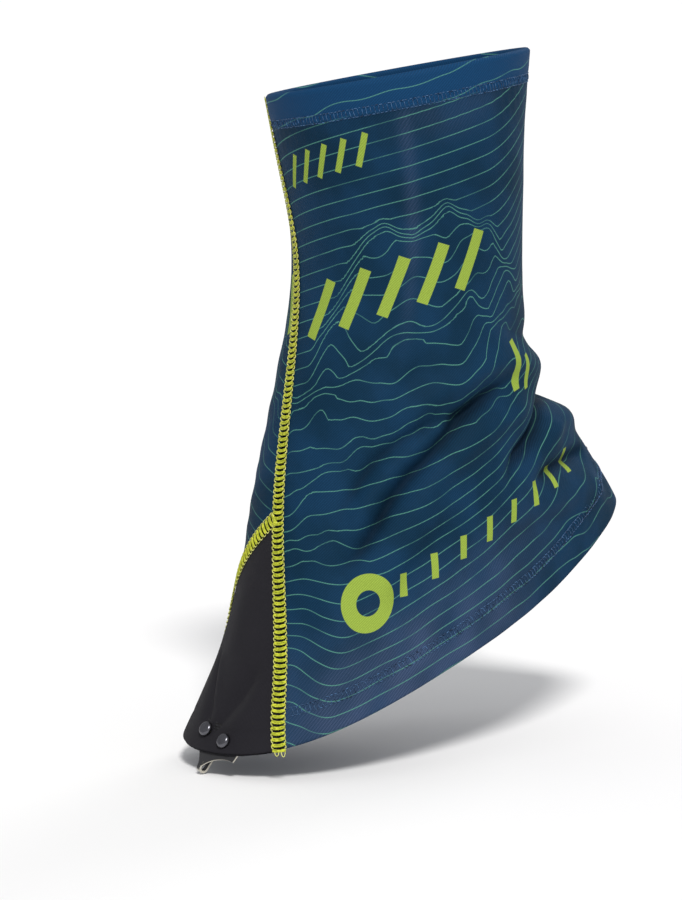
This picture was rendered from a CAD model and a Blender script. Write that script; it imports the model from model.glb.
"""The visual model of a pull-on stretch gaiter for the left leg, around its CAD frame.

Shapes are worked out in millimetres from the driving dimensions of the CAD model and
written in metres. "turn" is the angle round the leg, 0 at the shin and 90 degrees on the
outer side. "reach" is the distance round the leg from the middle of the outer side.
"""
from math import asin, cos, pi, radians, sin

import bpy
import numpy as np
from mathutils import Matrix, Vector, noise


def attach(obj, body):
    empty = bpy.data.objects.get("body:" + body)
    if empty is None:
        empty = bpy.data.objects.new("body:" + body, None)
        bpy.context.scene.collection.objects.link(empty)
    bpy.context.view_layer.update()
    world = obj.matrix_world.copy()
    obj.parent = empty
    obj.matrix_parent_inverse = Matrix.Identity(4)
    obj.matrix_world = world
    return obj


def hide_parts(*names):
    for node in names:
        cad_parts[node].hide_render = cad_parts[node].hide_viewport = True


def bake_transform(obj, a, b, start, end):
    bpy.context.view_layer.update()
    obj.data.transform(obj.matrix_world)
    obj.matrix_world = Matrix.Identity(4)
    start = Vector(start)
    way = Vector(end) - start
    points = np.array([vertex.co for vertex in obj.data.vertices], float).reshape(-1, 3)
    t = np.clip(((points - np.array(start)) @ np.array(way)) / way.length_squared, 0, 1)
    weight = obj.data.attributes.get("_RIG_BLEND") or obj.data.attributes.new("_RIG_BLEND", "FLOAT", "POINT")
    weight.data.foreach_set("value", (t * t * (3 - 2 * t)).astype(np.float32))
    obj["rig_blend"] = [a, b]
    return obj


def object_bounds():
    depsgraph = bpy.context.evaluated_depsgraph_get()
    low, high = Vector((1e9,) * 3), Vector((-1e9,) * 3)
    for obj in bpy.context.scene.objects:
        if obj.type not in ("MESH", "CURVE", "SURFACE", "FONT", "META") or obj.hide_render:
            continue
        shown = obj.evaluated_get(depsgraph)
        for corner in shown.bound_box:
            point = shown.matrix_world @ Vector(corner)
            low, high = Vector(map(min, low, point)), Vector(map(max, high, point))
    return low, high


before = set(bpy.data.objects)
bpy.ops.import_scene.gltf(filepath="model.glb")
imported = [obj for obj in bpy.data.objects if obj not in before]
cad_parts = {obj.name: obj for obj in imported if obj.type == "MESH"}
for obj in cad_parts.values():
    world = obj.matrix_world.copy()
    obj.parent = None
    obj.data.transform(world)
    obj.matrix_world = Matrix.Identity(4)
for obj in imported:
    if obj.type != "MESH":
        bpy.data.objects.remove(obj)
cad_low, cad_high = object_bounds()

MM = 0.001

# Driving dimensions, as in the CAD model

# Sections down the leg: front x, y and height, back y and height, half width, fullness in front
STATIONS = [
    (0, -59.5, 174, 41, 190, 48.0, 0.00),
    (0, -55.5, 158, 39, 173, 46.5, 0.00),
    (0, -49.5, 130.5, 37.5, 150, 45.0, 0.00),
    (0, -45, 100.5, 37.5, 118, 42.0, 0.00),
    (0, -48.5, 71, 38.5, 88, 41.0, 0.00),
    (1, -56, 41.5, 43, 62, 41.0, 0.02),
    (3, -64, 12, 53, 45, 41.5, 0.05),
    (5, -71, -18, 65, 31.5, 42.0, 0.10),
    (7, -80.5, -46, 76, 17, 42.5, 0.14),
    (9, -95.5, -73, 86, 2, 43.0, 0.18),
    (11, -110, -99, 93, -14, 43.5, 0.20),
]
CUFF_HEIGHT = 166.5
CUFF_NORMAL = np.array((-0.1, -0.15, 1))
CUFF_HEM = 12
# The bottom edge as y and height
HEM_LINE = [(-125, -73), (-92, -73), (-60, -64), (-20, -47.5), (32, -25), (84, 3), (110, 17)]
HEM_DEPTH = 14.5
GUSSET_HEM = 7
STITCH_GAP = 3
# The seams as x and height
FRONT_SEAM = [(-26, 172), (-9, 98), (12, 8), (23, -30), (46, -90)]
INNER_SEAM = [(12, 9), (-9, -14), (-20, -34), (-27, -90)]
APEX_HEIGHT = 9
ANKLE_NORMAL = Vector((0, -0.148, 0.989))
ANKLE_LOW, ANKLE_HIGH = 20, 74
FLAP_HINGE = Vector((8, -82.5, -47))
FLAP_NORMAL = Vector((0.27, -0.93, -0.24)).normalized()
HOOK_NORMAL = (0.184, -0.832, 0.523)

# The cloth's thickness, and how far the middles of its plies stand off the tube
CLOTH = 0.55
SKIN = 0.45
CUFF_PLY = -1.25
HEM_PLY = -0.4
# How far the knit is stretched on the leg
STRETCH_ROUND = 1.08
STRETCH_ALONG = 1.02
# The middles of the outer and the inner side, where reach and inner reach are 0
SIDE_TURN, INNER_SIDE_TURN = radians(60), radians(300)
LEG_RADIUS = 45


# Curves and surfaces ----------------


class Cubic:
    """A natural cubic through values at rising knots."""

    def __init__(self, knots, values):
        self.knots = np.array(knots, float)
        self.values = np.array(values, float).reshape(len(knots), -1)
        gap = np.diff(self.knots)
        system = np.eye(len(knots))
        slopes = np.diff(self.values, axis=0) / gap[:, None]
        change = np.zeros_like(self.values)
        change[1:-1] = 6 * np.diff(slopes, axis=0)
        for row in range(1, len(knots) - 1):
            system[row, row - 1 : row + 2] = gap[row - 1], 2 * (gap[row - 1] + gap[row]), gap[row]
        self.bends = np.linalg.solve(system, change)

    def __call__(self, at):
        at = np.asarray(at, float)
        low = np.clip(np.searchsorted(self.knots, at, side="right") - 1, 0, len(self.knots) - 2)
        gap = (self.knots[low + 1] - self.knots[low])[..., None]
        near = (at - self.knots[low])[..., None] / gap
        far = 1 - near
        straight = far * self.values[low] + near * self.values[low + 1]
        bent = (far**3 - far) * self.bends[low] + (near**3 - near) * self.bends[low + 1]
        return straight + bent * gap**2 / 6


section_at = Cubic(range(len(STATIONS)), STATIONS)
hem_height_at = Cubic(*zip(*HEM_LINE))
front_seam_x = Cubic(*zip(*[(z, x) for x, z in reversed(FRONT_SEAM)]))
inner_seam_x = Cubic(*zip(*[(z, x) for x, z in reversed(INNER_SEAM)]))


def unit(vectors):
    return vectors / np.linalg.norm(vectors, axis=-1, keepdims=True)


def gaps(points, axis):
    """Distances between neighbouring points."""
    return np.linalg.norm(np.diff(points, axis=axis), axis=-1)


def skin(turn, along, growth=0.0):
    """Points of the tube at an angle and a station number, grown outwards."""
    turn, along = np.broadcast_arrays(turn, along)
    front_x, front_y, front_z, back_y, back_z, half_width, fullness = np.moveaxis(section_at(along), -1, 0)
    front = np.stack([front_x, front_y, front_z], -1)
    back = np.stack([np.zeros_like(back_y), back_y, back_z], -1)
    middle = (front + back) / 2
    forward = front - middle
    half_length = np.linalg.norm(forward, axis=-1)
    forward = unit(forward)
    across = unit(np.stack([-forward[..., 1], forward[..., 0], 0 * half_length], -1))
    lengthwise = (half_length + growth) * np.cos(turn)
    sideways = (half_width + growth) * np.sin(turn) * (1 + fullness * np.cos(turn))
    return middle + lengthwise[..., None] * forward + sideways[..., None] * across


def outward(turn, along):
    """The direction square to the tube."""
    step = 0.01
    round_leg = skin(turn + step, along) - skin(turn - step, along)
    down_leg = skin(turn, along + step) - skin(turn, along - step)
    return unit(np.cross(down_leg, round_leg))


def crossing(rising, low, high, shape):
    """Where a rising function crosses zero, by halving."""
    low, high = np.full(shape, float(low)), np.full(shape, float(high))
    for _ in range(34):
        middle = (low + high) / 2
        above = rising(middle) > 0
        high = np.where(above, middle, high)
        low = np.where(above, low, middle)
    return (low + high) / 2


def along_at(turn, height):
    """The station number at which the tube has this height."""
    turn, height = np.broadcast_arrays(turn, height)
    return crossing(lambda along: height - skin(turn, along)[..., 2], 0, 10, turn.shape)


TABLE_TURNS = np.radians(np.arange(0, 360, 0.5))


def edge_heights(gap, low, high):
    """Heights of the tube's edge all round, where a gap closes between two stations."""
    edge = crossing(lambda along: gap(skin(TABLE_TURNS, along)), low, high, TABLE_TURNS.shape)
    return skin(TABLE_TURNS, edge)[..., 2]


_rim_heights = edge_heights(lambda points: CUFF_HEIGHT - points @ CUFF_NORMAL, 0, 3)
_hem_heights = edge_heights(lambda points: hem_height_at(points[..., 1])[..., 0] - points[..., 2], 6, 10)


def rim_height(turn):
    return np.interp(turn, TABLE_TURNS, _rim_heights, period=2 * pi)


def hem_height(turn):
    return np.interp(turn, TABLE_TURNS, _hem_heights, period=2 * pi)


_reach_turns = np.radians(np.arange(-420, 541, 2))
_reach_alongs = np.linspace(0, 10, 81)
_steps = gaps(skin(_reach_turns[None, :], _reach_alongs[:, None]), 1)
_reaches = np.concatenate([0 * _steps[:, :1], np.cumsum(_steps, axis=1)], axis=1)
_reaches -= _reaches[:, [np.searchsorted(_reach_turns, SIDE_TURN)]]


def reach_at(turn, along):
    """Distance round the leg, within one section, from the middle of the outer side."""
    last_row = len(_reach_alongs) - 1
    row = np.clip(along / 10 * last_row, 0, last_row - 0.001)
    column = (turn - _reach_turns[0]) / (_reach_turns[1] - _reach_turns[0])
    low_row, low_column = np.floor(row).astype(int), np.floor(column).astype(int)
    down, sideways = row - low_row, column - low_column

    def in_row(number):
        return _reaches[number, low_column] * (1 - sideways) + _reaches[number, low_column + 1] * sideways

    return in_row(low_row) * (1 - down) + in_row(low_row + 1) * down


def smooth(value, low, high):
    """0 before low, 1 after high."""
    share = np.clip((value - low) / (high - low), 0, 1)
    return share * share * (3 - 2 * share)


def zone(value, start, full, fade, end):
    """Rises from start to full, and falls from fade to end."""
    return smooth(value, start, full) * (1 - smooth(value, fade, end))


def hump(value, middle, width):
    """1 in the middle, dying away on both sides."""
    return np.exp(-(((value - middle) / width) ** 2))


def seam_turn(seam_x, height_of):
    """The angle of a front seam on each row, whose height depends on the angle."""
    rows = len(height_of(0.0))

    def beyond(turn):
        height = height_of(turn)
        return skin(turn, along_at(turn, height))[..., 0] - seam_x(height)

    return crossing(beyond, -1.4, 1.4, (rows,))


def front_x(height):
    return front_seam_x(height)[..., 0]


def inner_x(height):
    below_apex = inner_seam_x(np.minimum(height, APEX_HEIGHT))[..., 0]
    return np.where(height > APEX_HEIGHT, front_x(height), below_apex)


def columns_between(start, end, count):
    """Angles spread evenly from the start to the end of each row."""
    return start[:, None] + (end - start)[:, None] * np.linspace(0, 1, count)


def edge_share(count):
    """How far each column is from the nearer edge, as a share of the row."""
    return np.minimum(np.linspace(0, 1, count), np.linspace(1, 0, count))


class Places:
    """Places on the tube, from their angles and heights."""

    def __init__(self, turn, height):
        self.turn, self.height = turn, height
        self.along = along_at(turn, height)
        self.reach = reach_at(turn, self.along)
        self.inner_reach = reach_at(turn + SIDE_TURN - INNER_SIDE_TURN, self.along)
        self.mirrored = np.where(turn < pi, self.reach, -self.inner_reach)
        self.from_heel = np.abs(np.degrees(turn) - 180)
        self.drop = rim_height(turn) - height
        self.rise = height - hem_height(turn)
        self.normal = outward(turn, self.along)

    def points(self, growth, lift):
        """Points of cloth that stands off the tube."""
        return skin(self.turn, self.along, growth) + lift[..., None] * self.normal

    def ripple(self, size, seed):
        return ripple(self.reach, self.height, size, seed)


# Folds and other relief ----------------

# Each fold: places as reach and height, depth outwards, width, all in millimetres
FOLDS = [
    ([(132, 50), (104, 48), (86, 47), (77, 42), (72, 36), (65, 31), (57, 26), (52, 16)], -6.4, 3.9),
    ([(56, 56), (45, 53), (36, 49), (26, 41), (15, 30), (6, 22), (-1, 13), (-8, 2), (-15, -6), (-24, -15)],
     -4.3, 3.6),
    ([(50, 50), (22, 44), (6, 38), (-6, 29), (-14, 18), (-22, 6)], -2.9, 3.2),
    ([(12, 68), (4, 56), (-2, 45), (-9, 32)], -1.1, 4.0),
    ([(122, 27), (104, 24), (91, 22), (79, 20), (66, 15)], -4.0, 3.2),
    ([(118, 60), (84, 58), (66, 59), (46, 62), (24, 56), (6, 46), (-4, 34)], 2.6, 5.6),
    ([(140, 36), (112, 36), (96, 37), (86, 34), (76, 27)], 3.0, 4.8),
    ([(70, 46), (54, 42), (36, 36), (22, 25), (10, 12), (2, -3)], 2.2, 4.8),
    ([(30, 52), (14, 38), (4, 29), (-5, 19), (-12, 8), (-20, -4)], 1.7, 3.0),
    ([(-4, 58), (-12, 44), (-22, 28), (-30, 14)], 1.2, 4.2),
    ([(150, 10), (124, 11), (104, 11), (84, 9), (62, 2)], 2.2, 6.2),
    ([(96, 0), (74, 2), (54, -5), (38, -14)], -1.5, 4.0),
    ([(30, 18), (14, 7), (2, -8), (-6, -22)], 1.6, 5.0),
    ([(22, 6), (8, -10), (0, -28)], -1.5, 4.0),
    ([(-30, 2), (-26, -16), (-16, -34)], 1.0, 6.0),
    ([(110, 71), (82, 69), (58, 71), (38, 77)], -1.5, 4.0),
    ([(2, 152), (0, 122), (-1, 93), (2, 66)], 0.45, 2.6),
    ([(-60, 40), (-52, 22), (-44, 4)], -1.2, 5.0),
]
# The same on the inner side of the leg, where reach is measured from the middle of that side
INNER_FOLDS = [
    ([(-104, 50), (-70, 46), (-40, 44), (-10, 36), (8, 24), (18, 8)], -4.4, 4.6),
    ([(-94, 61), (-60, 58), (-28, 56), (0, 48), (18, 34)], 2.4, 6.2),
    ([(-114, 25), (-80, 27), (-52, 22), (-30, 10), (-20, -6)], -3.4, 4.0),
    ([(-120, 36), (-88, 37), (-56, 33), (-28, 22), (-8, 6)], 2.6, 4.8),
    ([(-130, 12), (-96, 14), (-64, 8), (-44, -6)], 2.0, 6.2),
    ([(-24, 30), (-6, 18), (4, 0)], -2.0, 4.2),
    ([(-10, 78), (4, 60), (18, 44)], 1.2, 5.5),
]


def fold_relief(reach, height, folds):
    """Round ridges and sharper valleys along smooth lines, dying away at their ends."""
    relief = np.zeros_like(reach)
    for places, depth, width in folds:
        shares = np.linspace(0, 1, 70)
        line = Cubic(range(len(places)), places)(shares * (len(places) - 1))
        strengths = zone(shares, -0.05, 0.2, 0.72, 1.05)
        nearest = np.full(reach.shape, 1e9)
        strength = np.zeros_like(reach)
        for (x, z), strong in zip(line, strengths):
            distance = np.hypot(reach - x, height - z)
            strength = np.where(distance < nearest, strong, strength)
            nearest = np.minimum(nearest, distance)
        power = 2 if depth > 0 else 1.45
        relief += depth * strength * np.exp(-((nearest / width) ** power))
    return relief


def ripple(reach, height, size, seed):
    """Smooth noise between about -1 and 1 over the cloth, with waves of one size."""
    flat = np.stack([reach.ravel() / size, height.ravel() / size], -1)
    values = [noise.noise(Vector((x, z, seed))) for x, z in flat]
    return np.array(values).reshape(reach.shape)


def cuff_gathers(reach, drop):
    """Small puckers under the cuff's stitches."""
    puckers = np.sin(reach / 0.75 + 1.8 * np.sin(reach / 9)) * (0.6 + 0.4 * np.sin(reach / 17 + 1))
    return 0.32 * zone(drop, 8.5, 11.5, 14, 26) * puckers


SEAM_TABLE_HEIGHTS = np.linspace(-90, 175, 160)
_front_turns = seam_turn(front_x, lambda turn: 0 * turn + SEAM_TABLE_HEIGHTS)
_inner_turns = seam_turn(inner_x, lambda turn: 0 * turn + SEAM_TABLE_HEIGHTS)


def seam_distance(turn, height):
    """Roughly how far round the leg the nearer front seam is."""
    apart = []
    for seam_turns in (_front_turns, _inner_turns):
        gap = turn - np.interp(height, SEAM_TABLE_HEIGHTS, seam_turns)
        apart.append(np.abs((gap + pi) % (2 * pi) - pi))
    return LEG_RADIUS * np.minimum(*apart)


def panel_folds(at):
    """The folds of both sides of the leg, joined at the heel."""
    outer_side = 1 - smooth(at.turn, radians(178), radians(200))
    folds = outer_side * fold_relief(at.reach, at.height, FOLDS)
    return folds + (1 - outer_side) * fold_relief(at.inner_reach, at.height, INNER_FOLDS)


def panel_relief(at):
    """How far the worn cloth stands off the tube: nothing at the front seams and the heel patch."""
    slack = 1 - smooth(at.height, 40, 95)
    soft = 0.35 * at.ripple(24, 3.1)
    soft += (0.15 + 0.35 * slack) * at.ripple(11, 7.7)
    puckers = 0.12 * np.sin(at.reach / 0.9) * hump(at.rise, 13, 3.5)
    puckers += cuff_gathers(at.reach, at.drop)
    held = smooth(at.drop, 2, 16) * smooth(at.rise, -4, 10)
    relief = panel_folds(at) * held + soft * (0.25 + 0.75 * held) + puckers
    off_patch = np.maximum(smooth(at.from_heel, 24, 36), smooth(at.height, 26, 34))
    return relief * smooth(seam_distance(at.turn, at.height), 0.5, 9) * off_patch


# Meshes ----------------


def link(name, data):
    """A new object in the scene."""
    item = bpy.data.objects.new(name, data)
    bpy.context.collection.objects.link(item)
    return item


def aim(item, direction):
    """Turns a camera's or a lamp's back to a direction."""
    item.rotation_mode = "QUATERNION"
    item.rotation_quaternion = direction.to_track_quat("Z", "Y")


def make_piece(name, points, faces, materials):
    """An object from points in millimetres."""
    mesh = bpy.data.meshes.new(name)
    mesh.from_pydata((np.asarray(points) * MM).tolist(), [], faces)
    mesh.validate()
    for material in materials:
        mesh.materials.append(material)
    mesh.polygons.foreach_set("use_smooth", [True] * len(mesh.polygons))
    return link(name, mesh)


def grid_faces(rows, columns):
    low = (np.arange(rows - 1)[:, None] * columns + np.arange(columns - 1)).ravel()
    return np.stack([low, low + columns, low + columns + 1, low + 1], -1).tolist()


def set_flat_map(piece, name, across, up):
    """Cloth coordinates in millimetres, as a UV map."""
    layer = piece.data.uv_layers.new(name=name)
    corners = np.zeros(len(piece.data.loops), int)
    piece.data.loops.foreach_get("vertex_index", corners)
    flat = np.stack([np.ravel(across), np.ravel(up)], -1)[corners]
    layer.data.foreach_set("uv", flat.astype(np.float32).ravel())


def thicken(piece, thickness, inner_slot=0):
    solid = piece.modifiers.new("thickness", "SOLIDIFY")
    solid.thickness = thickness * MM
    solid.offset = 0
    solid.use_even_offset = False
    solid.material_offset = inner_slot


def flat_rows(kind, first, last, count, growth):
    return [(kind, amount, growth) for amount in np.linspace(first, last, count)]


def bent_rows(kind, ply, bends):
    """Rows round the folded edge between the outside and an inner ply."""
    middle, radius = (SKIN + ply) / 2, (SKIN - ply) / 2
    return [(kind, radius * (1 - sin(bend)), middle + radius * cos(bend)) for bend in bends]


def cloth_rows(cuff_rows, drop_end, middle_rows, rise_end, hem_depth):
    """Rows of a cloth from the top down: what each is measured from, how far, and its growth."""
    rows = []
    half_turn = np.linspace(0, pi, 7)
    cuff_radius, hem_radius = (SKIN - CUFF_PLY) / 2, (SKIN - HEM_PLY) / 2
    if cuff_rows:
        rows += flat_rows("drop", CUFF_HEM, cuff_radius + 0.6, 7, CUFF_PLY)
        rows += bent_rows("drop", CUFF_PLY, half_turn[::-1])
        rows += flat_rows("drop", cuff_radius + 0.9, drop_end, cuff_rows, SKIN)
    rows += flat_rows("share", 0, 1, middle_rows + 2, SKIN)[1:-1]
    rows += flat_rows("rise", rise_end, hem_radius + 0.6, 13, SKIN)
    rows += bent_rows("rise", HEM_PLY, half_turn)
    rows += flat_rows("rise", hem_radius + 0.8, hem_depth, 7, HEM_PLY)
    return [np.array(column) for column in zip(*rows)]


def row_heights(rows, turn, top, rise_end):
    """Height of every row at an angle, or at an angle for each row. Shared rows start from the top."""
    kinds, amounts, _ = rows
    if np.ndim(turn) == 2:
        kinds, amounts = kinds[:, None], amounts[:, None]
    hem = hem_height(turn)
    heights = np.where(kinds == "drop", rim_height(turn) - amounts, hem + amounts)
    return np.where(kinds == "share", top + (hem + rise_end - top) * amounts, heights)


# Materials ----------------


def srgb(red, green, blue):
    """A screen colour, 0 to 255, as a linear one."""
    parts = [value / 255 for value in (red, green, blue)]
    linear = [part / 12.92 if part <= 0.04045 else ((part + 0.055) / 1.055) ** 2.4 for part in parts]
    return (*linear, 1)


class Shader:
    """A material being built from nodes."""

    def __init__(self, name, **settings):
        self.material = bpy.data.materials.new(name)
        self.material.use_nodes = True
        self.tree = self.material.node_tree
        self.surface = self.tree.nodes["Principled BSDF"]
        self.set(**settings)

    def set(self, **settings):
        for name, value in settings.items():
            socket = self.surface.inputs[name.replace("_", " ")]
            if isinstance(value, bpy.types.NodeSocket):
                self.tree.links.new(value, socket)
            else:
                socket.default_value = value

    def node(self, kind, inputs=(), output=0, **settings):
        made = self.tree.nodes.new("ShaderNode" + kind)
        for name, value in settings.items():
            setattr(made, name, value)
        pairs = inputs.items() if isinstance(inputs, dict) else enumerate(inputs)
        for key, value in pairs:
            if isinstance(value, bpy.types.NodeSocket):
                self.tree.links.new(value, made.inputs[key])
            else:
                made.inputs[key].default_value = value
        return made.outputs[output]

    def maths(self, operation, *values, **settings):
        return self.node("Math", values, operation=operation, **settings)

    def vectors(self, operation, *values, **settings):
        return self.node("VectorMath", values, operation=operation, **settings)

    def mix(self, share, first, second, how="MIX"):
        return self.node("Mix", {0: share, 6: first, 7: second}, 2, data_type="RGBA", blend_type=how)

    def times(self, first, second):
        return self.maths("MULTIPLY", first, second)

    def scaled(self, value, factor, offset):
        return self.maths("MULTIPLY_ADD", value, factor, offset)

    def inverse(self, share):
        return self.maths("SUBTRACT", 1.0, share)

    def attribute(self, name):
        return self.node("Attribute", output="Fac", attribute_name=name)

    def place(self):
        return self.node("TexCoord", output="Object")

    def flat_map(self, name):
        return self.node("UVMap", uv_map=name)

    def band(self, value, low, high):
        """0 below low, 1 above high."""
        return self.node("MapRange", {0: value, 1: low, 2: high}, interpolation_type="SMOOTHSTEP")

    def ramp(self, value, low, high, start, end):
        return self.node("MapRange", {0: value, 1: low, 2: high, 3: start, 4: end})

    def speckle(self, vector, scale, detail=2.0, roughness=0.5):
        inputs = {"Vector": vector, "Scale": scale, "Detail": detail, "Roughness": roughness}
        return self.node("TexNoise", inputs)

    def wave(self, vector, scale, distortion, direction, detail_scale=1.0):
        inputs = {"Vector": vector, "Scale": scale, "Distortion": distortion, "Detail Scale": detail_scale}
        return self.node("TexWave", inputs, output="Fac", bands_direction=direction)

    def bump(self, height, distance, strength, under=None):
        inputs = {"Strength": strength, "Distance": distance * MM, "Height": height}
        if under is not None:
            inputs["Normal"] = under
        return self.node("Bump", inputs)

    def finish(self, colour, height, distance, strength, under=None):
        self.set(Base_Color=colour, Normal=self.bump(height, distance, strength, under))
        return self.material


def knit_height(shader, flat, pitch, lean):
    """Ribs of the knit and the rows of loops across them, from cloth coordinates."""
    turned = shader.node("Mapping", {"Vector": flat, "Rotation": (0, 0, radians(lean))})
    ribs = shader.wave(turned, 0.314 / pitch, 0.6, "X", 3.0)
    rows = shader.wave(turned, 0.314 / (0.8 * pitch), 0.4, "Y", 3.0)
    return shader.times(ribs, shader.maths("ADD", rows, 0.5))


# The printed knit's ribs: spacing, and lean in degrees
KNIT_PITCH = 0.62
KNIT_LEAN = 38
# The print's marks, plain bars: reach, height, length, breadth and lean in degrees
LARGE_BARS = [(-33 + 14 * index, 81.5 + 4.6 * index, 22, 4.4, 17) for index in range(5)]
SMALL_BARS = [(-48 + 8.2 * index, 130.5 + 2.2 * index, 12.5, 2.3, 17) for index in range(5)]
TICK_BARS = [
    (6 + 12.6 * index, -14.5 + 6.1 * index - 0.12 * index**2, 8.4 + 0.6 * (index % 2), 3.0, -8)
    for index in range(8)
]
SIDE_BARS = [(53, 60, 19, 3.6, -16), (61, 57, 13, 2.6, -16)]
# Its reach, height, outer and inner radius
RING = (-8, -20.5, 10.4, 4.6)
LINE_HALF_WIDTH = 0.14


def bar_distance(shader, flat, bar):
    """Distance outside one bar, in millimetres, less than 0 inside it."""
    reach, height, length, breadth, lean = bar
    place = {"Vector": flat, "Location": (reach, height, 0), "Rotation": (0, 0, radians(-lean))}
    local = shader.node("Mapping", place, vector_type="TEXTURE")
    size = shader.vectors("ABSOLUTE", local)
    beyond = shader.vectors("SUBTRACT", size, (breadth / 2, length / 2, 0))
    parts = shader.node("SeparateXYZ", [beyond]).node
    return shader.maths("MAXIMUM", parts.outputs[0], parts.outputs[1])


def ring_distance(shader, flat, ring):
    reach, height, outer, inner = ring
    moved = shader.vectors("SUBTRACT", flat, (reach, height, 0))
    radius = shader.vectors("LENGTH", moved, output="Value")
    from_middle = shader.maths("ABSOLUTE", shader.maths("SUBTRACT", radius, (outer + inner) / 2))
    return shader.maths("SUBTRACT", from_middle, (outer - inner) / 2)


def contour_line(shader, field):
    """1 on the lines where a printed field passes the middle between whole numbers."""
    part = shader.maths("FRACT", shader.attribute(field))
    off_line = shader.maths("ABSOLUTE", shader.maths("SUBTRACT", part, 0.5))
    distance = shader.maths("DIVIDE", off_line, shader.attribute(field + "_slope"))
    edge = shader.band(distance, LINE_HALF_WIDTH - 0.1, LINE_HALF_WIDTH + 0.12)
    return shader.inverse(edge)


def dyed_ground(shader, flat, cuff):
    """Cloudy navy, brighter on the cuff, with paler ribs where the knit is stretched."""
    cloudy = shader.speckle(flat, 0.035, 3)
    navy = shader.mix(shader.band(cloudy, 0.35, 0.65), srgb(12, 44, 66), srgb(18, 53, 82))
    navy = shader.mix(cuff, navy, srgb(20, 62, 100))
    turned = shader.node("Mapping", {"Vector": flat, "Rotation": (0, 0, radians(28))})
    ribs = shader.scaled(shader.wave(turned, 0.3, 0.5, "X", 2.0), 0.5, 0.5)
    return shader.mix(shader.times(shader.attribute("stretch"), ribs), navy, srgb(74, 88, 120))


def printed_lines(shader, flat, cuff):
    """How strongly the thin lines show, which varies over the cloth."""
    fields = {0: cuff, 2: contour_line(shader, "contour"), 3: contour_line(shader, "cuff_contour")}
    line = shader.node("Mix", fields, 0, data_type="FLOAT")
    strength = shader.band(shader.speckle(flat, 0.06, 2), 0.34, 0.52)
    return shader.times(line, shader.scaled(strength, 0.36, 0.34))


def printed_marks(shader):
    """1 inside the ring and the bars."""
    flat = shader.flat_map("marks")
    distance = ring_distance(shader, flat, RING)
    for bar in LARGE_BARS + SMALL_BARS + TICK_BARS + SIDE_BARS:
        distance = shader.maths("MINIMUM", distance, bar_distance(shader, flat, bar))
    inside = shader.inverse(shader.band(distance, -0.12, 0.12))
    return shader.times(inside, shader.attribute("marked"))


def printed_fabric():
    """Blue stretch knit with thin green contour lines and lime bars."""
    shader = Shader("printed_fabric", Roughness=0.66, Sheen_Weight=0.02, Sheen_Roughness=0.4)
    shader.set(Sheen_Tint=srgb(90, 140, 190), Specular_IOR_Level=0.06)
    flat = shader.flat_map("cloth")
    cuff = shader.attribute("cuff")
    fine = shader.speckle(flat, 1.6, 2, 0.7)
    knit = knit_height(shader, flat, KNIT_PITCH, KNIT_LEAN)
    colour = dyed_ground(shader, flat, cuff)
    colour = shader.mix(printed_lines(shader, flat, cuff), colour, srgb(92, 156, 136))
    colour = shader.mix(printed_marks(shader), colour, srgb(146, 170, 68))
    colour = shader.mix(shader.attribute("seam_line"), colour, srgb(12, 14, 18))
    grain = shader.times(knit, fine)
    creased = shader.scaled(shader.attribute("crease"), -0.58, 1.0)
    shade = shader.times(shader.ramp(grain, 0.0, 0.8, 0.76, 1.24), creased)
    grey = shader.node("CombineColor", {0: shade, 1: shade, 2: shade})
    colour = shader.mix(1.0, colour, grey, "MULTIPLY")
    return shader.finish(colour, knit, 0.09, 0.55, shader.bump(fine, 0.12, 0.3))


def plain_knit(name, dark, light, pitch, lean):
    """One-colour knit with slight cloudiness."""
    shader = Shader(name, Roughness=0.85, Sheen_Weight=0.02, Sheen_Roughness=0.5, Specular_IOR_Level=0.12)
    flat = shader.flat_map("cloth")
    fine = shader.speckle(flat, 1.4, 3, 0.7)
    clouds = shader.maths("ADD", fine, shader.speckle(flat, 0.08, 3))
    knit = knit_height(shader, flat, pitch, lean)
    share = shader.scaled(knit, 0.5, shader.times(clouds, 0.4))
    fuzz = shader.bump(fine, 0.15, 0.35)
    return shader.finish(shader.mix(share, dark, light), knit, 0.09, 0.6, fuzz)


def thread_material(name, dark, light):
    """Textured thread with colour that varies from fibre to fibre."""
    shader = Shader(name, Roughness=0.6, Sheen_Weight=0.08, Sheen_Roughness=0.4, Specular_IOR_Level=0.3)
    place = shader.place()
    coarse = shader.speckle(place, 900, 2)
    fibres = shader.speckle(place, 5200, 2, 0.7)
    return shader.finish(shader.mix(shader.band(coarse, 0.3, 0.72), dark, light), fibres, 0.08, 0.7)


def dark_nickel():
    """Dark polished plating with faint smudges."""
    shader = Shader("dark_nickel", Metallic=1.0)
    place = shader.place()
    smudge = shader.speckle(place, 420, 4, 0.6)
    colour = srgb(104, 104, 110)
    duller = tuple(0.7 * part for part in colour[:3]) + (1,)
    shader.set(Roughness=shader.ramp(smudge, 0.3, 0.7, 0.2, 0.36))
    colour = shader.mix(shader.band(smudge, 0.3, 0.75), colour, duller)
    return shader.finish(colour, shader.speckle(place, 2600, 3), 0.02, 0.3)


def coated_plate():
    """Black coated sheet steel, bare and bright along its cut edges."""
    shader = Shader("hook_plate", Specular_IOR_Level=0.5)
    coordinates = shader.node("TexCoord", output="Normal")
    place = coordinates.node.outputs["Object"]
    facing = shader.vectors("DOT_PRODUCT", coordinates, HOOK_NORMAL, output="Value")
    grain = shader.speckle(place, 1500, 4, 0.7)
    rough_edge = shader.scaled(grain, 0.3, shader.maths("ABSOLUTE", facing))
    bare = shader.inverse(shader.band(rough_edge, 0.62, 0.98))
    shader.set(Metallic=bare, Roughness=shader.ramp(grain, 0.2, 0.8, 0.34, 0.56))
    return shader.finish(shader.mix(bare, srgb(34, 34, 37), srgb(206, 202, 190)), grain, 0.03, 0.35)


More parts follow.
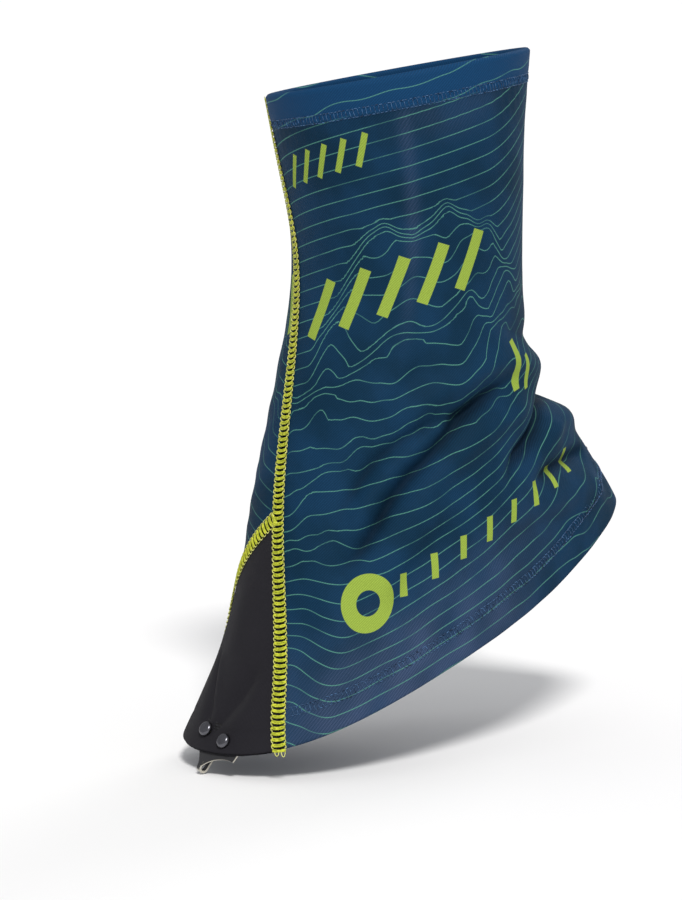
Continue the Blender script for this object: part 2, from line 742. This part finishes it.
def webbing(name, dark, light, pitch):
    """Tightly woven tape, without cloth coordinates of its own."""
    shader = Shader(name, Roughness=0.8, Specular_IOR_Level=0.25)
    place = shader.place()
    ribs = shader.wave(place, 0.314 / (pitch * MM), 0.8, "Z")
    picks = shader.wave(place, 0.2 / (pitch * MM), 1.2, "DIAGONAL")
    weave = shader.times(ribs, shader.maths("ADD", picks, 0.4))
    share = shader.times(weave, shader.speckle(place, 900))
    return shader.finish(shader.mix(share, dark, light), weave, 0.15, 0.7)


def touch_fastener():
    """The hook half of a touch fastener: rows of small stiff hooks."""
    shader = Shader("touch_fastener", Roughness=0.5)
    place = shader.place()
    hooks = shader.node("TexVoronoi", {"Vector": place, "Scale": 900.0, "Randomness": 0.35})
    colour = shader.mix(hooks, srgb(66, 66, 70), srgb(18, 18, 20))
    return shader.finish(colour, shader.inverse(hooks), 0.6, 0.9)


def dress(material, *nodes):
    """Gives CAD nodes a finished material."""
    for node in nodes:
        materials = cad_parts[node].data.materials
        materials.clear()
        materials.append(material)


def dress_frame():
    """Materials for the CAD nodes that stay in view."""
    dress(dark_nickel(), "rivet_caps", "rivet_washers")
    dress(coated_plate(), "lace_hook")
    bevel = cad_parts["lace_hook"].modifiers.new("soft edges", "BEVEL")
    bevel.width = 0.14 * MM
    bevel.segments = 2
    bevel.limit_method = "ANGLE"
    dress(webbing("tab_webbing", srgb(16, 16, 18), srgb(52, 52, 56), 0.9), "hook_tab")
    dress(webbing("cuff_elastic", srgb(22, 24, 28), srgb(60, 62, 68), 0.8), "cuff_elastic")
    dress(touch_fastener(), "heel_patch")


# Main panel ----------------

PANEL_COLUMNS = 236
CUFF_ROWS_END = 14
HEM_ROWS_END = 16.5

# Outlines of the printed hills as reach and height, how far their lines are lifted, how deep they go
HILLS = [
    ([(-31, 74), (-25, 84), (-22, 93), (-18, 104), (-12, 111), (-5, 111), (2, 108), (8, 114), (14, 120),
      (19, 117), (25, 113), (34, 108), (38, 100), (46, 96), (53, 88)], 15, 44),
    ([(-44, 48), (-30, 52), (-18, 58), (-9, 69), (0, 74), (12, 76), (24, 87), (36, 77), (46, 80), (58, 87),
      (70, 90)], 9, 38),
    ([(-34, 18), (-22, 26), (-12, 34), (0, 37), (12, 46), (24, 44), (36, 52), (50, 50), (62, 58)], 6, 34),
    ([(-44, -5), (-35, -1), (-28, -3), (-22, 3), (-14, -3), (-6, -10), (4, -14)], 5, 26),
]
LINE_SPACING = 5.7
LINE_SLOPE = 0.285


def hill_lift(reach, height, outline, lift, depth):
    """How far the printed lines inside a hill are raised: most at its outline."""
    places = np.array(outline, float)
    outline_at = Cubic(places[:, 0], places[:, 1])
    first, last = places[0, 0], places[-1, 0]
    inside = np.clip(reach, first + 0.5, last - 0.5)
    top = outline_at(inside)[..., 0] + 3.5 * ripple(reach, 0 * height, 7, depth)
    steepness = (outline_at(inside + 0.5) - outline_at(inside - 0.5))[..., 0]
    within = zone(reach, first - 5, first + 5, last - 9, last)
    below = top - height
    edge = smooth(below / np.hypot(1, steepness), -2.8, 2.8)
    return lift * within * edge * np.clip(1 - below / depth, 0, 1)


def contour_field(at):
    """The printed lines lie where this passes half numbers: slanting ones with hills, and the hem's own."""
    height, rise, reach, mirrored = at.height, at.rise, at.reach, at.mirrored
    back = reach_at(pi + 0 * at.turn, at.along)
    towards_back = back - np.hypot(back - reach, 10)
    heel = 1 - smooth(at.from_heel, 24, 80)
    upper = height - LINE_SLOPE * towards_back + 0.5 * at.ripple(45, 2.5)
    upper -= 20 * heel * (1 - 0.6 * smooth(height, 90, 160))
    for outline, lift, depth in HILLS:
        upper -= hill_lift(mirrored, height, outline, lift, depth)
    wavy = zone(mirrored, -34, -16, 44, 62) * (1 - smooth(height, 100, 124))
    wavy *= 0.12 + 0.88 * smooth(height - LINE_SLOPE * mirrored, 22, 42)
    upper += wavy * (2.6 * at.ripple(15, 1.5) + 1.3 * at.ripple(6.5, 4.5))
    seam_side = 1 - smooth(mirrored, -44, -16)
    lower = rise * (1 - 0.35 * heel) - 60 + 8 * heel - 11 * (1 - smooth(mirrored, -38, -13))
    lower += 3.4 * at.ripple(17, 6.5) * (0.25 + 0.75 * heel + 0.75 * seam_side)
    lower += 2.0 * at.ripple(8, 9.5) * (0.1 + 0.6 * heel + 0.9 * seam_side)
    share = smooth(rise, 34 - 12 * heel, 84 - 8 * heel)
    return (share * upper + (1 - share) * lower) / LINE_SPACING


def field_slope(field, points):
    """How fast a field changes over the cloth, for each millimetre."""
    slopes = []
    for axis, change in enumerate(np.gradient(field)):
        step = np.linalg.norm(np.gradient(points, axis=axis), axis=-1)
        slopes.append(change / np.maximum(step, 0.05))
    return np.maximum(np.hypot(*slopes), 0.01)


def hem_bands(at):
    """How far the inner plies push the cuff and the hem out, with a groove under each row of stitches."""
    bands = 0.38 * (1 - smooth(at.drop, CUFF_HEM - 0.2, CUFF_HEM + 1.8))
    bands += 0.3 * (1 - smooth(at.rise, HEM_DEPTH, HEM_DEPTH + 1.8))
    for from_edge, depth in ((at.drop, CUFF_HEM), (at.rise, HEM_DEPTH)):
        for row in (depth - STITCH_GAP, depth):
            bands -= 0.3 * hump(from_edge, row, 0.9)
    return bands


def sheerness(at):
    """Where the knit is stretched and shows paler: near the toes, below the cuff and down the side."""
    toes = (1 - smooth(at.rise, 4, 52)) * (1 - smooth(at.mirrored, 30, 105))
    sheer = 0.85 * toes * (0.6 + 0.4 * smooth(at.reach, -24, -6))
    sheer += 0.28 * hump(at.reach, 20, 20) * zone(at.drop, 11, 13, 14, 30)
    sheer += 0.34 * hump(at.reach, 1, 2.6) * zone(at.drop, 11, 14, 60, 110)
    return np.clip(sheer * (0.75 + 0.5 * at.ripple(12, 8.8)), 0, 1)


def set_print(piece, at, points):
    """What the printed fabric's material reads on the cloth."""
    set_flat_map(piece, "cloth", at.reach, at.height + LINE_SLOPE * at.reach)
    set_flat_map(piece, "marks", at.mirrored, at.height)
    contour = contour_field(at)
    cuff_contour = (at.drop + 3.4 * at.ripple(17, 5.2) + 0.12 * at.reach) / 8.5
    from_seam = gaps(points, 1).sum(axis=1)[:, None] * edge_share(PANEL_COLUMNS)
    values = {
        "contour": contour,
        "contour_slope": field_slope(contour, points),
        "cuff_contour": cuff_contour,
        "cuff_contour_slope": field_slope(cuff_contour, points),
        "cuff": 1 - smooth(at.drop, CUFF_HEM - 0.5, CUFF_HEM + 0.5),
        "stretch": sheerness(at),
        "seam_line": 1 - smooth(from_seam, 1.9, 2.5),
        "marked": smooth(at.from_heel, 6, 12),
        "crease": smooth(-panel_folds(at), 0.3, 4.2),
    }
    for name, numbers in values.items():
        attribute = piece.data.attributes.new(name, "FLOAT", "POINT")
        attribute.data.foreach_set("value", numbers.astype(np.float32).ravel())


def main_panel():
    rows = cloth_rows(9, CUFF_ROWS_END, 128, HEM_ROWS_END, HEM_DEPTH)

    def heights_of(turn):
        return row_heights(rows, turn, rim_height(turn) - CUFF_ROWS_END, HEM_ROWS_END)

    end = seam_turn(inner_x, heights_of) + 2 * pi
    turn = columns_between(seam_turn(front_x, heights_of), end, PANEL_COLUMNS)
    at = Places(turn, heights_of(turn))
    growth = rows[2][:, None]
    points = at.points(growth, panel_relief(at) + np.where(growth >= SKIN - 0.01, hem_bands(at), 0))
    piece = make_piece(
        "main_panel", points.reshape(-1, 3), grid_faces(*turn.shape), [panel_material, reverse_material]
    )
    set_print(piece, at, points)
    thicken(piece, CLOTH, 1)
    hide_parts("main_panel_upper", "main_panel_ankle", "main_panel_lower", "cuff_fold", "hem_fold")
    stretch_blend(piece)
    return piece, *flat_size(piece, points)


def flat_size(piece, points):
    """Width, length and area that the cloth was cut to, before it was stretched over the leg."""
    girth = gaps(points, 1).sum(axis=1).max()
    length = gaps(points, 0).sum(axis=0).max()
    area = sum(face.area for face in piece.data.polygons)
    size = (float(girth) * MM / STRETCH_ROUND, float(length) * MM / STRETCH_ALONG)
    return size, area / (STRETCH_ROUND * STRETCH_ALONG)


def stretch_blend(piece):
    """Cloth and thread over the ankle bend from the foot to the leg."""
    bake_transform(piece, "foot", "leg", start=ANKLE_NORMAL * ANKLE_LOW * MM, end=ANKLE_NORMAL * ANKLE_HIGH * MM)


# Gusset ----------------

GUSSET_COLUMNS = 64
GUSSET_TURN = 2.2
GUSSET_ROWS_END = 8.5
FACING_END = -1.3
FACING_PLY = -0.95
FACING = 0.45
# Beside a seam the cloth stays with the foot up to here, and follows the hook beyond here
SEAM_HOLD = (1.5, 8.5)
GUSSET_FOLDS = [
    ([(-77, -42), (-73, -52), (-70, -60), (-68, -68)], -1.9, 3.0),
    ([(-73, -42), (-69, -52), (-66, -60)], 0.9, 3.2),
    ([(-48, -44), (-54, -54), (-60, -62), (-67, -70)], -2.2, 3.4),
    ([(-43, -48), (-48, -58), (-56, -68)], 1.5, 4.0),
    ([(-58, -14), (-62, -30), (-67, -46)], 0.7, 6.0),
]


def gusset_cloth(name, heights_of, growths):
    """Cloth between the two seams below the gusset's point, from its rows' heights and growths."""
    turn = columns_between(seam_turn(inner_x, heights_of), seam_turn(front_x, heights_of), GUSSET_COLUMNS)
    at = Places(turn, heights_of(turn))
    growth = growths[:, None]
    lift = fold_relief(at.reach, at.height, GUSSET_FOLDS) + 0.3 * at.ripple(13, 2.2)
    lift *= smooth(edge_share(GUSSET_COLUMNS), 0, 0.18) * smooth(at.rise, -3, 12)
    lift -= 0.2 * hump(at.rise, GUSSET_HEM, 0.8) * (growth > 0)
    points = at.points(growth, lift)
    piece = make_piece(name, points.reshape(-1, 3), grid_faces(*turn.shape), [gusset_material])
    set_flat_map(piece, "cloth", at.reach, at.height)
    return piece, points


def lift_blend(piece, points):
    """Cloth over the line where its end lifts with the hook; beside the seams it stays with the foot."""
    hinge = FLAP_NORMAL * FLAP_HINGE.dot(FLAP_NORMAL)
    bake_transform(piece, "foot", "hook", start=(hinge - 1.5 * FLAP_NORMAL) * MM, end=(hinge + 9 * FLAP_NORMAL) * MM)
    steps = gaps(points, 1)
    from_start = np.concatenate([0 * steps[:, :1], np.cumsum(steps, axis=1)], axis=1)
    from_seam = np.minimum(from_start, from_start[:, -1:] - from_start)
    weights = piece.data.attributes["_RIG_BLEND"].data
    shares = np.zeros(len(weights), np.float32)
    weights.foreach_get("value", shares)
    weights.foreach_set("value", (shares * smooth(from_seam, *SEAM_HOLD).ravel()).astype(np.float32))


def gusset_piece():
    rows = cloth_rows(0, 0, 90, GUSSET_ROWS_END, GUSSET_TURN)

    def heights_of(turn):
        return row_heights(rows, turn, APEX_HEIGHT - 1.0, GUSSET_ROWS_END)

    piece, points = gusset_cloth("gusset_cloth", heights_of, rows[2])
    thicken(piece, CLOTH)
    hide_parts("gusset", "gusset_flap")
    lift_blend(piece, points)
    return piece, *flat_size(piece, points)


def gusset_facing():
    """The folded facing behind the gusset's edge, which shows as a second edge just below it."""
    rises = np.linspace(GUSSET_HEM, FACING_END, 16)

    def heights_of(turn):
        return hem_height(turn) + (rises[:, None] if np.ndim(turn) == 2 else rises)

    piece, points = gusset_cloth("gusset_facing", heights_of, 0 * rises + FACING_PLY)
    thicken(piece, FACING)
    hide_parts("gusset_edge_fold")
    lift_blend(piece, points)
    return piece


# Threads ----------------


class Threads:
    """Many round threads in one mesh."""

    def __init__(self):
        self.points, self.faces = [], []

    def add(self, path, radius, closed=False, sides=6):
        count = len(path)
        if closed:
            tangent = unit(np.roll(path, -1, axis=0) - np.roll(path, 1, axis=0))
        else:
            tangent = unit(np.gradient(path, axis=0))
        side = unit(np.cross(tangent, (0.31, 0.17, 0.93)))
        other = np.cross(tangent, side)
        around = np.linspace(0, 2 * pi, sides, endpoint=False)[:, None]
        ring = np.cos(around) * side[:, None] + np.sin(around) * other[:, None]
        base = sum(len(block) for block in self.points)
        self.points.append((path[:, None] + radius * ring).reshape(-1, 3))
        corners = base + np.arange(count * sides).reshape(count, sides)
        following = np.roll(corners, -1, axis=1)
        low = np.stack([corners, following], -1)
        quads = np.concatenate([low, np.roll(low, -1, axis=0)[..., ::-1]], -1)
        self.faces += quads[: count if closed else count - 1].reshape(-1, 4).tolist()
        if not closed:
            self.faces += [corners[0, ::-1].tolist(), corners[-1].tolist()]

    def piece(self, name, material):
        return make_piece(name, np.concatenate(self.points), self.faces, [material])


class Track:
    """A line on the cloth with its own along, across and outward directions."""

    def __init__(self, turn, height):
        at = Places(turn, height)
        self.normal = at.normal
        self.points = at.points(SKIN + CLOTH / 2, panel_relief(at))
        self.distance = np.concatenate([[0], np.cumsum(gaps(self.points, 0))])
        self.length = self.distance[-1]

    def between(self, vectors, distance):
        return np.stack([np.interp(distance, self.distance, part) for part in vectors.T], -1)

    def at(self, distance):
        """Place, along, across and outward at distances from the start."""
        ahead = self.between(self.points, distance + 0.6)
        tangent = unit(ahead - self.between(self.points, distance - 0.6))
        normal = unit(self.between(self.normal, distance))
        return self.between(self.points, distance), tangent, unit(np.cross(tangent, normal)), normal

    def route(self, distance, across_by, raise_by):
        place, _, across, normal = self.at(distance)
        return place + np.asarray(across_by)[:, None] * across + np.asarray(raise_by)[:, None] * normal


SEAM_HALF = 2.3
RUNG_PITCH = 2.05
STITCH_PITCH = 1.55
# How far the hem stitches stay from the front seams, as an angle
SEAM_MARGIN = 0.055
# The heel patch's stitch lines: half width, low and high heights
PATCH_STITCHES = (15.5, 9.0, 23.0)
PATCH_RADIUS = 41.5
PATCH_PITCH = 2.3
PATCH_STITCH = 1.8
# Thread radii
RUNG_THREAD = 0.34
EDGE_THREAD = 0.15
COVER_THREAD = 0.17
CROSS_THREAD = 0.12
LOOSE_THREAD = 0.16
# How each stitch dips into the cloth at its ends
COVER_RISE = (-0.1, 0.16, 0.26, 0.26, 0.16, -0.1)
CROSS_RISE = (-0.1, 0.16, 0.36, 0.36, 0.16, -0.1)
PATCH_RISE = (-0.2, 0.08, 0.16, 0.16, 0.08, -0.2)
rng = np.random.default_rng(11)


def seam_threads(track, first, last):
    """A flat seam: closed rungs of two strands across it, and a looped thread down each edge."""
    threads, edges = Threads(), Threads()
    around = np.linspace(0, 2 * pi, 22, endpoint=False)
    for middle in np.arange(first, last, RUNG_PITCH):
        lean = rng.uniform(-0.14, 0.14)
        half = SEAM_HALF + rng.uniform(-0.16, 0.12)
        across_by = half * np.sign(np.cos(around)) * np.abs(np.cos(around)) ** 0.75
        pinch = 0.55 + 0.45 * np.minimum(1, np.abs(across_by) / (0.55 * half))
        gap = 0.38 + rng.uniform(-0.05, 0.04)
        chevron = 0.42 * (1 - np.abs(across_by) / half)
        distance = middle + gap * pinch * np.sin(around) + lean * across_by / half + chevron
        raise_by = 0.42 + 0.26 * (1 - (across_by / half) ** 2) + 0.1 * np.cos(2 * around)
        threads.add(track.route(distance, across_by, raise_by), RUNG_THREAD, closed=True)
    for side in (-1, 1):
        distance = np.arange(first - 0.8, last, RUNG_PITCH / 8)
        phase = 2 * pi * distance / RUNG_PITCH
        across_by = side * (SEAM_HALF + 0.05 + 0.3 * np.cos(phase + side))
        raise_by = 0.5 + 0.22 * np.sin(phase + side)
        along_by = distance + 0.42 * np.sin(2 * phase)
        edges.add(track.route(along_by, across_by, raise_by), EDGE_THREAD)
    return threads, edges


def seam_track(seam_x, top, bottom):
    """The line of a front seam, from the rim or a height to a rise above the hem."""
    shares = np.linspace(0, 1, 260)

    def heights_of(turn):
        high = rim_height(turn) - 0.4 if top is None else 0 * turn + top
        low = hem_height(turn) + bottom
        return high + (low - high) * shares

    turn = seam_turn(seam_x, heights_of)
    return Track(turn, heights_of(turn))


def front_seam():
    track = seam_track(front_x, None, -0.6)
    threads, edges = seam_threads(track, 1.4, track.length - 0.3)
    for across_by, drop in ((-1.4, 2.3), (0.9, 1.8)):
        loop = np.linspace(0, pi, 12)
        route = track.route(
            np.full(12, track.length - 0.2), across_by + 0.75 * np.cos(loop), 0.35 + 0.2 * np.sin(loop)
        )
        _, tangent, _, _ = track.at(np.array([track.length - 0.5]))
        edges.add(route + (drop * np.sin(loop))[:, None] * tangent, LOOSE_THREAD)
    return threads, edges


def add_seams():
    threads, edges = front_seam()
    band = threads.piece("front_seam_rungs", seam_material)
    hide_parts("front_seam_upper", "front_seam_ankle", "gusset_seam_outer")
    stretch_blend(band)
    edge = edges.piece("front_seam_edges", seam_edge_material)
    stretch_blend(edge)
    track = seam_track(inner_x, APEX_HEIGHT - 0.8, -0.2)
    threads, edges = seam_threads(track, 1.2, track.length - 0.2)
    inner = threads.piece("gusset_seam_rungs", seam_material)
    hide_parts("gusset_seam_inner")
    inner_edge = edges.piece("gusset_seam_edges", seam_edge_material)
    for piece in (inner, inner_edge):
        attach(piece, "foot")
    return band, edge, inner, inner_edge


def cover_stitch(threads, track):
    """Two rows of short stitches, and the slanting threads that cross between them."""
    for start in np.arange(0.6, track.length - STITCH_PITCH, STITCH_PITCH):
        for row in (-STITCH_GAP / 2, STITCH_GAP / 2):
            wobble = rng.uniform(-0.12, 0.12, 2)
            distance = start + STITCH_PITCH * np.array([0.04, 0.14, 0.3, 0.5, 0.66, 0.78])
            across_by = row + np.linspace(wobble[0], wobble[1], 6)
            threads.add(track.route(distance, across_by, COVER_RISE), COVER_THREAD, sides=5)
        lean = rng.uniform(-0.02, 0.16)
        half = STITCH_GAP / 2 + rng.uniform(-0.45, 0.2)
        shift = rng.uniform(-0.2, 0.2)
        across_by = shift + half * np.array([-1, -0.8, -0.3, 0.3, 0.8, 1])
        distance = start + STITCH_PITCH * 0.88 + lean * across_by
        threads.add(track.route(distance, across_by, CROSS_RISE), CROSS_THREAD, sides=5)


def stitch_track(height_of, end_seam):
    """The middle line between two rows of stitches, from the front seam round to the end seam."""
    shares = np.linspace(0, 1, 700)

    def one_height(turn):
        return height_of(turn) + np.zeros(1)

    start = seam_turn(front_x, one_height)[0] + SEAM_MARGIN
    end = seam_turn(end_seam, one_height)[0] + 2 * pi - SEAM_MARGIN
    turn = start + shares * (end - start)
    return Track(turn, height_of(turn))


def add_hem_stitches():
    cuff, hem = Threads(), Threads()
    middle_drop, middle_rise = CUFF_HEM - STITCH_GAP / 2, HEM_DEPTH - STITCH_GAP / 2
    cover_stitch(cuff, stitch_track(lambda turn: rim_height(turn) - middle_drop, front_x))
    cover_stitch(hem, stitch_track(lambda turn: hem_height(turn) + middle_rise, inner_x))
    cuff_piece = cuff.piece("cuff_stitching", hem_thread_material)
    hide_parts("cuff_stitches")
    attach(cuff_piece, "leg")
    hem_piece = hem.piece("hem_stitching", hem_thread_material)
    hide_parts("hem_stitches")
    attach(hem_piece, "foot")
    return cuff_piece, hem_piece


def add_patch_stitches():
    """One line of stitches round the heel patch, through the cloth."""
    threads = Threads()
    half_width, low, high = PATCH_STITCHES
    spread = asin(half_width / PATCH_RADIUS)
    turns = np.linspace(pi - spread, pi + spread, 120)
    heights = np.linspace(low, high, 120)
    lines = [(turns, 0 * turns + low), (turns, 0 * turns + high)]
    lines += [(0 * turns + turns[0], heights), (0 * turns + turns[-1], heights)]
    for turn, height in lines:
        track = Track(turn, height)
        for start in np.arange(0.3, track.length - PATCH_STITCH, PATCH_PITCH):
            distance = start + np.linspace(0, PATCH_STITCH, 6)
            threads.add(track.route(distance, 0 * distance, PATCH_RISE), LOOSE_THREAD)
    piece = threads.piece("patch_stitching", patch_thread_material)
    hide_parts("heel_patch_stitches")
    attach(piece, "foot")
    return piece


# Stage, light and camera ----------------

AMBIENT = 0.5
FLOOR_SIZE, FLOOR_GAP = 400, 0.5 * MM
# Each sun: where it stands, its strength, and its spread in degrees
SUNS = {"key": ((1.0, -0.38, 1.2), 2.6, 12), "rim": ((-0.6, 1.2, 0.9), 0.5, 20)}
# The camera's direction in degrees, its distance, and the height of its view at the object
AZIMUTH, ELEVATION = 60, 8
DISTANCE, VIEW_HEIGHT = 1300 * MM, 333 * MM
AIM_RIGHT, AIM_UP = -27.38 * MM, 25.9 * MM


def set_camera():
    azimuth, elevation = radians(AZIMUTH), radians(ELEVATION)
    level = cos(elevation)
    back = Vector((sin(azimuth) * level, -cos(azimuth) * level, sin(elevation)))
    right = Vector((0, 0, 1)).cross(back).normalized()
    up = back.cross(right)
    camera = link("camera", bpy.data.cameras.new("camera"))
    camera.location = AIM_RIGHT * right + AIM_UP * up + DISTANCE * back
    aim(camera, back)
    camera.data.sensor_width = 36
    camera.data.lens = camera.data.sensor_width * DISTANCE / VIEW_HEIGHT
    camera.data.clip_start, camera.data.clip_end = 0.01, 50
    bpy.context.scene.camera = camera
    bpy.context.scene.view_settings.view_transform = "Standard"


def sun_light(name, towards, strength, spread):
    """Even light over the object and the floor, softened by its spread in degrees."""
    light = bpy.data.lights.new(name, "SUN")
    light.energy, light.angle, light.color = strength, radians(spread), (1, 0.985, 0.965)
    aim(link(name, light), Vector(towards))


def set_world():
    """Soft even light all round, and a white backdrop beyond the floor's edge."""
    world = bpy.data.worlds.new("studio")
    bpy.context.scene.world = world
    world.use_nodes = True
    nodes, links = world.node_tree.nodes, world.node_tree.links
    ambient, backdrop = nodes["Background"], nodes.new("ShaderNodeBackground")
    ambient.inputs["Color"].default_value = (0.97, 0.98, 1, 1)
    ambient.inputs["Strength"].default_value = AMBIENT
    backdrop.inputs["Color"].default_value = (1, 1, 1, 1)
    seen, rays = nodes.new("ShaderNodeMixShader"), nodes.new("ShaderNodeLightPath")
    links.new(rays.outputs["Is Camera Ray"], seen.inputs[0])
    links.new(ambient.outputs[0], seen.inputs[1])
    links.new(backdrop.outputs[0], seen.inputs[2])
    links.new(seen.outputs[0], nodes["World Output"].inputs["Surface"])


def set_stage():
    bpy.ops.mesh.primitive_plane_add(size=FLOOR_SIZE, location=(0, 0, cad_low[2] - FLOOR_GAP))
    floor = bpy.context.object
    floor.name = "floor"
    shader = Shader("studio_floor", Roughness=0.9, Specular_IOR_Level=0.1)
    place = shader.place()
    cloudy = shader.speckle(place, 3, 2)
    shader.set(Base_Color=shader.mix(cloudy, (0.87, 0.87, 0.88, 1), (0.9, 0.9, 0.9, 1)))
    floor.data.materials.append(shader.material)
    set_world()
    for name, settings in SUNS.items():
        sun_light(name, *settings)


# Everything ----------------

panel_material = printed_fabric()
reverse_material = plain_knit("fabric_reverse", srgb(44, 62, 88), srgb(72, 90, 116), KNIT_PITCH, KNIT_LEAN)
gusset_material = plain_knit("gusset_fabric", srgb(21, 20, 24), srgb(36, 35, 40), 0.5, 0)
seam_material = thread_material("seam_thread", srgb(150, 158, 30), srgb(204, 208, 58))
seam_edge_material = thread_material("seam_edge_thread", srgb(178, 180, 84), srgb(222, 222, 140))
hem_thread_material = thread_material("hem_thread", srgb(8, 28, 56), srgb(70, 108, 150))
patch_thread_material = thread_material("patch_thread", srgb(18, 36, 58), srgb(60, 82, 110))

set_camera()
set_stage()
dress_frame()
panel, panel_flat, panel_area = main_panel()
gusset, gusset_flat, gusset_area = gusset_piece()
facing = gusset_facing()
seam_pieces = add_seams()
stitch_pieces = add_hem_stitches()
patch_stitching = add_patch_stitches()

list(seam_pieces[:2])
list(seam_pieces[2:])
